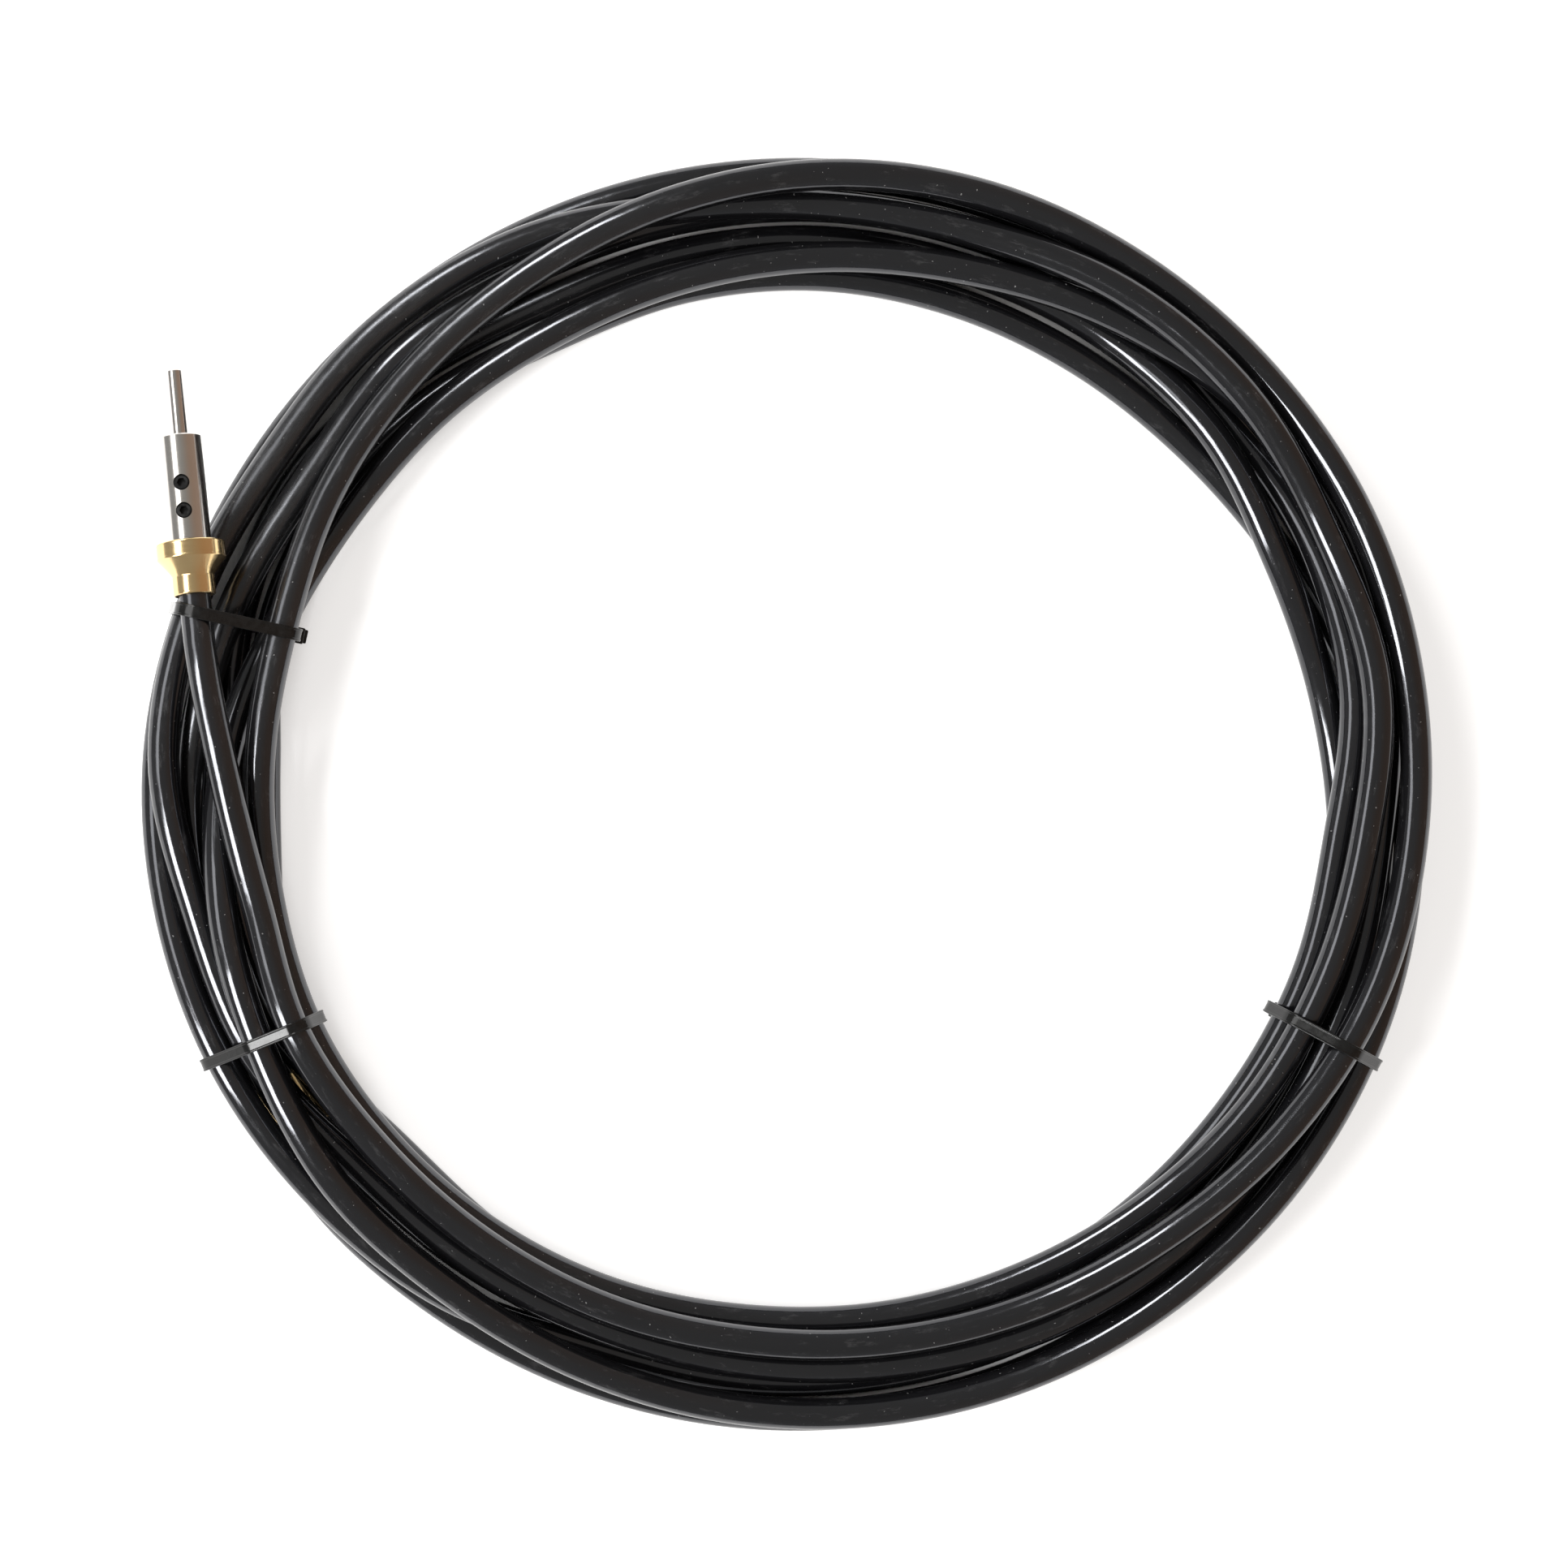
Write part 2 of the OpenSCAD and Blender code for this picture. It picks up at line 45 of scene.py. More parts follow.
CASING_D = 12.0
CASING_WALL = 1.75
CORE_D = 7.0
COIL_R = 222.0
LANE_GAP = 0.7
STRAND_GAP = 1.4
FLAT_SHARE = 0.1
CASING_SEAT = 12.0
TIE_W = 4.8
TIE_T = 1.2
TIE_GAP = 0.6
HEAD_L = 7.0
HEAD_W = 6.2
HEAD_T = 4.6
HEAD_WALL = 0.9
STUB_L = 2.4
RAIL_W = 0.7
RAIL_H = 0.2
STRAP_SIDES = 64
STRAP_STEP = 1.0
# The tool end: how low and how thick it lies among the strands
TOOL_FLOOR_Z = 8.1
TOOL_BULK = 2.0
TOOL_SLEEVE_L = 22.0
TOOL_SLEEVE_R = 7.5
NECK_R = 8.0
NECK_L = 7.5
FLARE_L = 6.0
COLLAR_R = 13.0
DRIVE_FERRULE_L = 20.0
CASING_FIT = 0.1
RUNNING_FIT = 0.08
EDGE = 0.4
# A strand beside the tool ferrule keeps TOOL_CLEAR from its axis and eases back over EASE_L
TOOL_CLEAR = 13.55
EASE_L = 30.0

DRIVE_AZIMUTH = 161.0
DRIVE_MOUTH_R = 234.6
DRIVE_MOUTH_Z = 46.0
DRIVE_HEADING = 96.0
DRIVE_DROOP = 4.5
COIL_AXIS = np.array([-0.2, -1.1, 0.0])

# Lanes: where each strand runs, in lane widths out from COIL_R, every LANE_STEP degrees
LANE_STEP = 30.0
LANES_START = 150.0
LANES = (
    [2.4]
    + [-0.7, -1.5, -1.5, -1.2, -0.3, 0.7, 1.5, 1.8, 1.8, 1.1, 0.1, -0.9]
    + [-1.6, -1.7, -1.6, -1.6, -1.2, -0.4, 0.2, 0.6, 0.6, 0.5, 0.4, 0.4]
    + [0.5, 0.1, -0.5, -0.1, 0.6, 0.9, 0.9, 0.7, -0.2, -1.2, -1.8, -1.6]
    + [-0.8, -0.3, 0.2, 1.0, 1.5, 1.6, 1.5, 1.4, 1.4, 1.3, 1.3, 1.4]
    + [1.5, 1.0, 0.5, 0.4, 0.5, -0.1, -0.6, -0.6, -0.3, -0.2, 0.1, 0.6]
    + [-0.3, -0.5, -0.6, -0.6, -0.8, -0.7, -0.3, 0.3, 0.5, 0.5, 0.3, -0.1]
    + [0.8, 1.0, 1.2, 1.4, 1.4, 1.1, 0.4, -0.8, -1.4, -1.4, -0.8, -0.5]
    + [-0.5, -0.5, -0.3]
)
# The innermost and outermost lane at each azimuth, and how high each turn starts
INNER_LANES = [-0.6, -0.9, -1.4, -1.5, -1.8, -1.7, -1.7, -1.6, -1.6, -1.6, -1.2, -0.8]
OUTER_LANES = [1.6, 1.8, 1.8, 1.5, 1.4, 1.4, 1.6, 1.2, 1.2, 1.4, 1.6, 1.7]
STOREYS = [5.5, 5.5, 4.5, 2.6, 3.4, 1.2, 2.0, 0.6, 0.0]

# Ties: azimuth, turn out of the radial plane, slack towards the coil's axis, and how far down its
# straight run of strap the head stands
HEAD_SIDE = math.radians(180.0)
TIES = {
    "tie_by_drive_end": (162.2, 5.6, 0.0, 0.95),
    "tie_left": (205.0, -2.5, 0.0, 0.5),
    "tie_right": (336.3, -4.4, 2.0, 0.3),
}

# Stations stand along the route, TURN_STATIONS to a turn. The strands are pulled down and smoothed
# for PULL_PASSES, and then only pushed apart for PART_PASSES
TURN_STATIONS = 24
STATION_STEP = 360.0 / TURN_STATIONS
LAST_STATION = 171
STATION_COUNT = LAST_STATION + 3
PULL_PASSES = 60
PART_PASSES = 50
PUSH_SHARE = 0.45
SINK = 0.53
SINK_FADE = 3
SMOOTHING = 0.2
LEAST_DISTANCE = 0.001
SLOPE_STEP = 0.01
STOREY_H = 6.8
STOREY_FLOOR = 0.3

STRAND_PITCH = CASING_D + STRAND_GAP
LANE_WIDTH = CASING_D + LANE_GAP
FLOOR_Z = CASING_D * (0.5 - FLAT_SHARE)
TIE_REACH = CASING_D / 2 + TIE_GAP
TIE_FLOOR_Z = CASING_D / 2 + TIE_GAP + TIE_T

# ---------------------------------------------------------------- the coil's route


def cubic(values, i, u):
    """A value between places i and i + 1 of a list, on a curve through all of them."""
    a, b, c, d = (values[min(max(i + k, 0), len(values) - 1)] for k in (-1, 0, 1, 2))
    return (
        2 * b
        + (c - a) * u
        + (2 * a - 5 * b + 4 * c - d) * u**2
        + (3 * b - a - 3 * c + d) * u**3
    ) / 2


def lane(azimuth):
    """The smooth curve through the lanes."""
    place = (azimuth - LANES_START) / LANE_STEP
    i = math.floor(place)
    return cubic(LANES, i, place - i)


def rim(table, azimuth):
    """A value between those of a closed table, which has one for each LANE_STEP."""
    place = azimuth % 360 / LANE_STEP
    i = math.floor(place)
    share = place - i
    return table[i % len(table)] * (1 - share) + table[(i + 1) % len(table)] * share


def storey(azimuth):
    """How high a turn starts: which turn lies on which."""
    return STOREYS[0 if azimuth < 180 else math.floor(azimuth / 360 + 0.5)]


def floor_at(i, azimuth):
    """The lowest that a strand's centre may lie at a station."""
    by_a_tie = any(
        abs((azimuth - tie[0] + 180) % 360 - 180) < STATION_STEP for tie in TIES.values()
    )
    low = TOOL_FLOOR_Z if i >= LAST_STATION else TIE_FLOOR_Z if by_a_tie else FLOOR_Z
    return low + STOREY_FLOOR * storey(azimuth)


def pushes(places, bulks):
    """The push on each place of a list of [radius, height] from the strands too near to it."""
    total = np.zeros_like(places)
    for turn in range(1, len(places) // TURN_STATIONS + 1):
        offset = turn * TURN_STATIONS
        if offset >= len(places):
            break
        away = places[:-offset] - places[offset:]
        distance = np.maximum(np.linalg.norm(away, axis=1), LEAST_DISTANCE)
        short = np.maximum(STRAND_PITCH + bulks[:-offset] + bulks[offset:] - distance, 0)
        push = away * (short * PUSH_SHARE / distance)[:, None]
        total[:-offset] += push
        total[offset:] -= push
    return total


def settle():
    """Strands sink from their storeys, part where they meet and follow their lanes' bends."""
    azimuths = DRIVE_AZIMUTH + STATION_STEP * np.arange(STATION_COUNT)
    lanes = np.array([[COIL_R + LANE_WIDTH * lane(a), 0] for a in azimuths])
    floors = np.array([floor_at(i, a) for i, a in enumerate(azimuths)])
    inner = np.array([COIL_R + LANE_WIDTH * rim(INNER_LANES, a) for a in azimuths])
    outer = np.array([COIL_R + LANE_WIDTH * rim(OUTER_LANES, a) for a in azimuths])
    bulks = np.where(np.arange(STATION_COUNT) > LAST_STATION, TOOL_BULK, 0.0)
    places = lanes.copy()
    places[:, 1] = floors + STOREY_H * np.array([storey(a) for a in azimuths])
    mouth = np.array([DRIVE_MOUTH_R, DRIVE_MOUTH_Z])
    places[0] = mouth
    for number in range(PULL_PASSES + PART_PASSES):
        halves = (places[1:] + places[:-1]) / 2
        half_pushes = pushes(halves, (bulks[1:] + bulks[:-1]) / 2)
        moved = places + pushes(places, bulks)
        moved[:-1] += half_pushes / 2
        moved[1:] += half_pushes / 2
        if number < PULL_PASSES:
            strays = places - lanes
            moved[1:-1] += SMOOTHING * ((strays[:-2] + strays[2:]) / 2 - strays[1:-1])
            moved[:, 1] -= SINK * min(1, SINK_FADE * (1 - number / PULL_PASSES))
        moved[:, 0] = np.clip(moved[:, 0], inner, outer)
        moved[:, 1] = np.maximum(moved[:, 1], floors)
        moved[0] = mouth
        places = moved
    return azimuths, places


def spot(azimuth, r, z):
    """The point at an azimuth, a radius and a height round the coil's axis."""
    angle = math.radians(azimuth)
    return np.array([r * math.cos(angle), r * math.sin(angle), z]) + COIL_AXIS


def unit(v):
    """A vector's direction, one long."""
    return v / np.linalg.norm(v)


def hermite(start, start_slope, end, end_slope, steps):
    """Points of a smooth bend, without its first one."""
    points = []
    for k in range(1, steps + 1):
        u = k / steps
        points.append(
            (2 * u**3 - 3 * u**2 + 1) * start
            + (u**3 - 2 * u**2 + u) * start_slope
            + (3 * u**2 - 2 * u**3) * end
            + (u**3 - u**2) * end_slope
        )
    return points


azimuths, places = settle()
heading = math.radians(DRIVE_HEADING)
droop = math.radians(DRIVE_DROOP)
drive_axis = np.array(
    [math.cos(heading) * math.cos(droop), math.sin(heading) * math.cos(droop), -math.sin(droop)]
)
drive_mouth = spot(DRIVE_AZIMUTH, DRIVE_MOUTH_R, DRIVE_MOUTH_Z)
stations = [spot(a, *place) for a, place in zip(azimuths, places)]
tool_axis = unit(stations[LAST_STATION + 1] - stations[LAST_STATION])
tool_mouth = stations[LAST_STATION] + CASING_D * tool_axis


def coil_point(i, u):
    """A point of the round coil between stations i and i + 1."""
    r, z = cubic(places, i, u)
    return spot(azimuths[i] + u * STATION_STEP, r, z)


def coil_slope(i):
    """The coil's direction at a station, as long as a station's step."""
    return (coil_point(i, SLOPE_STEP) - coil_point(i, 0)) / SLOPE_STEP


def route(steps):
    """The casing's centreline from end to end, with straight ends."""
    lead = drive_mouth - CASING_D * drive_axis
    first = stations[1]
    span = np.linalg.norm(first - lead)
    points = [drive_mouth + CASING_SEAT * drive_axis * (1 - k / 2) for k in range(3)]
    points += [drive_mouth - CASING_D * drive_axis * k / 2 for k in (1, 2)]
    slope = unit(coil_slope(1)) * span
    points += hermite(lead, -drive_axis * span, first, slope, steps)
    for i in range(1, LAST_STATION - 1):
        points += [coil_point(i, k / steps) for k in range(1, steps + 1)]
    before, last = stations[LAST_STATION - 1], stations[LAST_STATION]
    span = np.linalg.norm(last - before)
    slope = unit(coil_slope(LAST_STATION - 1)) * span
    points += hermite(before, slope, last, tool_axis * span, steps)
    points += [last + (CASING_D + CASING_SEAT) * tool_axis * k / 4 for k in range(1, 5)]
    return past_tool(np.array(points))


def past_tool(path):
    """The route with the strands beside the tool ferrule bent round it."""
    offsets = path - tool_mouth
    along = offsets @ tool_axis
    sideways = offsets - np.outer(along, tool_axis)
    distance = np.linalg.norm(sideways, axis=1)
    travelled = np.cumsum(np.linalg.norm(np.diff(path, axis=0, prepend=path[:1]), axis=1))
    beside = (along > -CASING_D) & (along < TOOL_SLEEVE_L) & (distance > CASING_D)
    push = np.zeros(len(path))
    for i in np.flatnonzero(beside & (distance < TOOL_CLEAR)):
        reach = np.minimum(np.abs(travelled - travelled[i]) / EASE_L, 1)
        push = np.maximum(push, (TOOL_CLEAR - distance[i]) * np.cos(reach * math.pi / 2) ** 2)
    return path + sideways * (push / np.maximum(distance, 1))[:, None]


# ---------------------------------------------------------------- mesh helpers


def new_object(name, vertices, faces):
    """A smooth-shaded mesh object from vertices in millimetres."""
    mesh = bpy.data.meshes.new(name)
    mesh.from_pydata([tuple(v * MM) for v in np.array(vertices, float)], [], faces)
    mesh.update()
    mesh.shade_smooth()
    piece = bpy.data.objects.new(name, mesh)
    bpy.context.scene.collection.objects.link(piece)
    return piece


def tube(name, path, r, sides, bore=None):
    """A closed round tube along a path, with its girth and its length as a UV map in metres."""
    along = np.gradient(path, axis=0)
    along /= np.linalg.norm(along, axis=1)[:, None]
    side = np.cross([0, 0, 1], along)
    side /= np.linalg.norm(side, axis=1)[:, None]
    up = np.cross(along, side)
    angles = (np.arange(sides) * 2 * math.pi / sides)[None, :, None]
    spokes = np.cos(angles) * side[:, None] + np.sin(angles) * up[:, None]
    walls = [r] if bore is None else [r, bore]
    vertices = np.concatenate([(path[:, None] + wall * spokes).reshape(-1, 3) for wall in walls])
    vertices[:, 2] = np.maximum(vertices[:, 2], 0)
    count = len(path)
    inner = count * sides
    last = inner - sides
    travelled = np.concatenate([[0], np.cumsum(np.linalg.norm(np.diff(path, axis=0), axis=1))])
    u = np.arange(sides + 1) / sides * 2 * math.pi * r * MM
    v = travelled * MM
    faces, run = [], []
    for wall in range(len(walls)):
        for i in range(count - 1):
            for k in range(sides):
                a = wall * inner + i * sides + k
                b = wall * inner + i * sides + (k + 1) % sides
                quad = [
                    (a, (u[k], v[i])),
                    (b, (u[k + 1], v[i])),
                    (b + sides, (u[k + 1], v[i + 1])),
                    (a + sides, (u[k], v[i + 1])),
                ]
                if wall:
                    quad.reverse()
                faces.append([vertex for vertex, place in quad])
                run += [place for vertex, place in quad]
    if bore is None:
        faces += [list(reversed(range(sides))), list(range(last, inner))]
        run += [(0, v[0])] * sides + [(0, v[-1])] * sides
    else:
        for k in range(sides):
            onward = (k + 1) % sides
            faces.append([k, inner + k, inner + onward, onward])
            faces.append([last + k, last + onward, last + inner + onward, last + inner + k])
            run += [(0, v[0])] * 4 + [(0, v[-1])] * 4
    piece = new_object(name, vertices, faces)
    layer = piece.data.uv_layers.new(name="run")
    layer.data.foreach_set("uv", np.array(run, np.float32).ravel())
    return piece


def turned(name, profile, mouth, axis, sides=128):
    """A turned piece: a closed profile of (place along the axis, radius) spun round the axis."""
    side = unit(np.cross([0, 0, 1], axis))
    up = np.cross(axis, side)
    angles = np.arange(sides) * 2 * math.pi / sides
    vertices = [
        mouth + place * axis + r * (math.cos(angle) * side + math.sin(angle) * up)
        for place, r in profile
        for angle in angles
    ]
    count = len(profile)
    faces = [
        (
            i * sides + k,
            i * sides + (k + 1) % sides,
            (i + 1) % count * sides + (k + 1) % sides,
            (i + 1) % count * sides + k,
        )
        for i in range(count)
        for k in range(sides)
    ]
    return new_object(name, vertices, faces)


# ---------------------------------------------------------------- material helpers


class Nodes:
    """A material's node tree, with short calls to add and link nodes."""

    def __init__(self, name):
        """A new material with only its shader and its output."""
        self.material = bpy.data.materials.new(name)
        self.material.use_nodes = True
        self.tree = self.material.node_tree
        self.shader = self.tree.nodes["Principled BSDF"]

    def add(self, kind, **values):
        """A new node, with its inputs or its settings by name."""
        node = self.tree.nodes.new(kind)
        for key, value in values.items():
            if key in node.inputs:
                node.inputs[key].default_value = value
            else:
                setattr(node, key, value)
        return node

    def link(self, source, target):
        """A link from an output to an input."""
        self.tree.links.new(source, target)

    def set(self, **values):
        """Sets the shader's own sockets."""
        for key, value in values.items():
            self.shader.inputs[key.replace("_", " ")].default_value = value

    def place(self, scale):
        """Object coordinates, stretched."""
        coordinates = self.add("ShaderNodeTexCoord")
        mapping = self.add("ShaderNodeMapping", Scale=scale)
        self.link(coordinates.outputs["Object"], mapping.inputs["Vector"])
        return mapping.outputs["Vector"]

    def run(self, scale):
        """The UV map of a tube, which is in metres, stretched."""
        coordinates = self.add("ShaderNodeUVMap", uv_map="run")
        mapping = self.add("ShaderNodeMapping", Scale=scale)
        self.link(coordinates.outputs["UV"], mapping.inputs["Vector"])
        return mapping.outputs["Vector"]

    def noise(self, vector, scale, detail=4.0, roughness=0.5):
        """A grey noise."""
        noise = self.add("ShaderNodeTexNoise", Scale=scale, Detail=detail, Roughness=roughness)
        self.link(vector, noise.inputs["Vector"])
        return noise.outputs["Fac"]

    def ramp(self, fac, stops):
        """A colour ramp with (position, grey or colour) stops."""
        ramp = self.add("ShaderNodeValToRGB")
        elements = ramp.color_ramp.elements
        while len(elements) < len(stops):
            elements.new(0.5)
        for element, (position, colour) in zip(elements, stops):
            element.position = position
            element.color = (*colour, 1) if isinstance(colour, tuple) else (colour, colour, colour, 1)
        self.link(fac, ramp.inputs["Fac"])
        return ramp.outputs["Color"]

    def mix(self, fac, a, b):
        """A colour between two, which are links or colours."""
        mix = self.add("ShaderNodeMix", data_type="RGBA")
        for value, target in ((fac, mix.inputs[0]), (a, mix.inputs[6]), (b, mix.inputs[7])):
            if isinstance(value, bpy.types.NodeSocket):
                self.link(value, target)
            elif isinstance(value, tuple):
                target.default_value = (*value, 1)
            else:
                target.default_value = value
        return mix.outputs[2]

    def bump(self, height, distance, strength=1.0, below=None):
        """A relief for the shader, on another one where it is given."""
        bump = self.add("ShaderNodeBump", Strength=strength, Distance=distance)
        self.link(height, bump.inputs["Height"])
        if below is not None:
            self.link(below, bump.inputs["Normal"])
        self.link(bump.outputs["Normal"], self.shader.inputs["Normal"])
        return bump.outputs["Normal"]


DULL_SIDE = (-1.6, 1.35, 0)


def casing_material():
    """Black extruded plastic: glossy and gently wavy, but scuffed, dull and dusty on one side."""
    m = Nodes("casing_plastic")
    m.set(Metallic=0.0, IOR=1.5, Specular_IOR_Level=0.78, Specular_Tint=(0.92, 0.94, 1, 1))
    dull_side = m.add("ShaderNodeVectorMath", operation="DOT_PRODUCT")
    m.link(m.place((1, 1, 1)), dull_side.inputs[0])
    dull_side.inputs[1].default_value = DULL_SIDE
    patches = m.noise(m.run((60, 14, 1)), 1.0, 3.0)
    wear = m.add("ShaderNodeMath", operation="MULTIPLY_ADD")
    m.link(patches, wear.inputs[0])
    wear.inputs[1].default_value = 0.4
    m.link(dull_side.outputs["Value"], wear.inputs[2])
    worn = m.ramp(wear.outputs[0], [(0.56, 0.0), (0.74, 1.0)])
    scuffs = m.noise(m.run((900, 160, 1)), 1.0, 5.0, 0.65)
    smears = m.noise(m.run((140, 18, 1)), 1.0, 3.0)
    dust = m.noise(m.run((1, 1, 1)), 700.0, 1.0)
    dusty = m.ramp(dust, [(0.0, 0.0), (0.75, 0.0), (0.78, 1.0)])
    marks = m.ramp(m.noise(m.run((260, 60, 1)), 1.0, 8.0, 0.75), [(0.0, 0.0), (0.56, 0.0), (0.72, 1.0)])
    clean = m.mix(smears, (0.005, 0.005, 0.006), (0.01, 0.01, 0.011))
    dull = m.mix(scuffs, (0.01, 0.01, 0.01), (0.024, 0.024, 0.025))
    plastic = m.mix(marks, m.mix(worn, clean, dull), (0.05, 0.05, 0.052))
    m.link(m.mix(dusty, plastic, (0.22, 0.22, 0.22)), m.shader.inputs["Base Color"])
    fine = m.ramp(scuffs, [(0.3, 0.08), (0.7, 0.16)])
    rough = m.ramp(scuffs, [(0.3, 0.2), (0.7, 0.42)])
    m.link(m.mix(worn, fine, rough), m.shader.inputs["Roughness"])
    waves = m.bump(m.noise(m.run((70, 45, 1)), 1.0, 2.0), 0.0006, 0.3)
    m.bump(scuffs, 0.00004, 0.25, waves)
    return m.material


def wire_material():
    """Bright steel wires that wind round the core."""
    m = Nodes("core_wire")
    m.set(Metallic=1.0, Base_Color=(0.5, 0.49, 0.46, 1))
    wires = m.add("ShaderNodeTexWave", bands_direction="DIAGONAL", Scale=160.0)
    m.link(m.run((1, 1, 1)), wires.inputs["Vector"])
    m.link(m.ramp(wires.outputs["Fac"], [(0.0, 0.55), (1.0, 0.25)]), m.shader.inputs["Roughness"])
    m.bump(wires.outputs["Fac"], 0.0003, 0.8)
    return m.material


def metal_material(name, colour, shade, rough, brushed):
    """Turned metal: fine rings across the axis, with a faint change of colour."""
    m = Nodes(name)
    m.set(Metallic=1.0)
    rings = m.noise(m.place(brushed), 1.0, 4.0, 0.6)
    patches = m.noise(m.place((90, 90, 90)), 1.0, 3.0)
    m.link(m.mix(patches, colour, shade), m.shader.inputs["Base Color"])
    m.link(m.ramp(rings, [(0.3, rough), (0.7, rough + 0.07)]), m.shader.inputs["Roughness"])
    m.bump(rings, 0.000006, 0.5)
    return m.material


def black_steel_material():
    """Black oxide on the set screws, worn a little."""
    m = Nodes("black_steel")
    m.set(Metallic=0.6)
    grain = m.noise(m.place((500, 500, 500)), 1.0, 3.0)
    m.link(m.ramp(grain, [(0.3, 0.006), (0.8, 0.03)]), m.shader.inputs["Base Color"])
    m.link(m.ramp(grain, [(0.2, 0.24), (0.8, 0.42)]), m.shader.inputs["Roughness"])
    m.bump(grain, 0.00003, 0.4)
    return m.material


def nylon_material():
    """Black nylon of the ties, with a fine moulded surface."""
    m = Nodes("tie_nylon")
    m.set(IOR=1.53, Specular_IOR_Level=0.3)
    grain = m.noise(m.place((400, 400, 400)), 1.0, 3.0)
    m.link(m.ramp(grain, [(0.3, 0.006), (0.8, 0.014)]), m.shader.inputs["Base Color"])
    m.link(m.ramp(grain, [(0.2, 0.1), (0.8, 0.2)]), m.shader.inputs["Roughness"])
    m.bump(grain, 0.00003, 0.3)
    return m.material


# ---------------------------------------------------------------- camera

VIEW_WIDTH = 599.0
VIEW_CENTRE = (0.1, 4.2)
VIEW_PLANE_Z = 28.0
CAMERA_Z = 1428.0

camera = bpy.data.objects.new("camera", bpy.data.cameras.new("camera"))
camera.data.sensor_width = 36.0
camera.data.lens = 36.0 * (CAMERA_Z - VIEW_PLANE_Z) / VIEW_WIDTH
camera.data.clip_end = 20.0
camera.location = (VIEW_CENTRE[0] * MM, VIEW_CENTRE[1] * MM, CAMERA_Z * MM)
bpy.context.scene.collection.objects.link(camera)
bpy.context.scene.camera = camera

# ---------------------------------------------------------------- hose and core

ROUTE_STEPS = 10
path = route(ROUTE_STEPS)
casing = tube("hose", path, CASING_D / 2, 28, bore=CASING_D / 2 - CASING_WALL)
casing.data.materials.append(casing_material())
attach(casing, "coil")
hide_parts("casing")
core = tube("core_rod", path, CORE_D / 2, 12)
core.data.materials.append(wire_material())
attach(core, "coil")
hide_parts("core")

# ---------------------------------------------------------------- cable ties


def tie_frame(azimuth, tilt):
    """A tie's plane: its middle on the coil's middle circle, its way out and the way across it."""
    angle = math.radians(azimuth)
    turned = math.radians(azimuth + tilt)
    middle = COIL_AXIS + COIL_R * np.array([math.cos(angle), math.sin(angle), 0])
    out = np.array([math.cos(turned), math.sin(turned), 0])
    across = np.array([-math.sin(turned), math.cos(turned), 0])
    return middle, out, across


def crossings(plane, offset):
    """Where the route passes beside a tie's plane, as [distance out, height]."""
    middle, out, across = plane
    beside = (path - middle) @ across - offset
    found = []
    for i in range(len(path) - 1):
        if beside[i] * beside[i + 1] < 0 and (path[i] - middle) @ out > -COIL_R:
            share = beside[i] / (beside[i] - beside[i + 1])
            point = path[i] + (path[i + 1] - path[i]) * share
            found.append(np.array([(point - middle) @ out, point[2]]))
    return found


def outline(points):
    """The convex outline of points in a plane, anticlockwise."""
    points = sorted(set((round(p[0], 5), round(p[1], 5)) for p in points))

    def half(points):
        """One side of the outline, without its last point."""
        chain = []
        for p in points:
            while (
                len(chain) > 1
                and (chain[-1][0] - chain[-2][0]) * (p[1] - chain[-2][1])
                <= (chain[-1][1] - chain[-2][1]) * (p[0] - chain[-2][0])
            ):
                chain.pop()
            chain.append(p)
        return chain[:-1]

    return half(points) + half(list(reversed(points)))


def even_loop(corners, spacing):
    """A closed outline with points a spacing apart."""
    corners = np.array(corners + corners[:1])
    steps = np.linalg.norm(np.diff(corners, axis=0), axis=1)
    travelled = np.concatenate([[0], np.cumsum(steps)])
    count = int(travelled[-1] / spacing)
    wanted = np.arange(count) * travelled[-1] / count
    return np.stack([np.interp(wanted, travelled, corners[:, k]) for k in (0, 1)], 1)


def in_row(plane, out, high, along):
    """A point of a tie's section in the row's frame."""
    return plane[0] + out * plane[1] + np.array([0, 0, high]) + along * plane[2]


def strap(name, plane, places):
    """The strap: a flat band with rounded edges and a raised rail along each."""
    angles = np.arange(STRAP_SIDES) * 2 * math.pi / STRAP_SIDES
    ring = [
        (place[0] + TIE_REACH * math.cos(angle), place[1] + TIE_REACH * math.sin(angle))
        for place in places
        for angle in angles
    ]
    loop = even_loop(outline(ring), STRAP_STEP)
    tangent = np.roll(loop, -1, axis=0) - np.roll(loop, 1, axis=0)
    tangent /= np.linalg.norm(tangent, axis=1)[:, None]
    normal = np.stack([tangent[:, 1], -tangent[:, 0]], 1)
    half = TIE_W / 2
    bevel = 0.25
    profile = [
        (-half, bevel),
        (-half + bevel, 0),
        (half - bevel, 0),
        (half, bevel),
        (half, TIE_T - bevel),
        (half - bevel, TIE_T),
        (half - RAIL_W, TIE_T),
        (half - RAIL_W - bevel, TIE_T - RAIL_H),
        (-half + RAIL_W + bevel, TIE_T - RAIL_H),
        (-half + RAIL_W, TIE_T),
        (-half + bevel, TIE_T),
        (-half, TIE_T - bevel),
    ]
    vertices = []
    for place, outward in zip(loop, normal):
        for along, high in profile:
            out, z = place + outward * high
            vertices.append(in_row(plane, out, max(z, 0), along))
    count, sides = len(loop), len(profile)
    faces = [
        (
            i * sides + k,
            (i + 1) % count * sides + k,
            (i + 1) % count * sides + (k + 1) % sides,
            i * sides + (k + 1) % sides,
        )
        for i in range(count)
        for k in range(sides)
    ]
    piece = new_object(name, vertices, faces)
    soften(piece, 0.0001)
    return piece


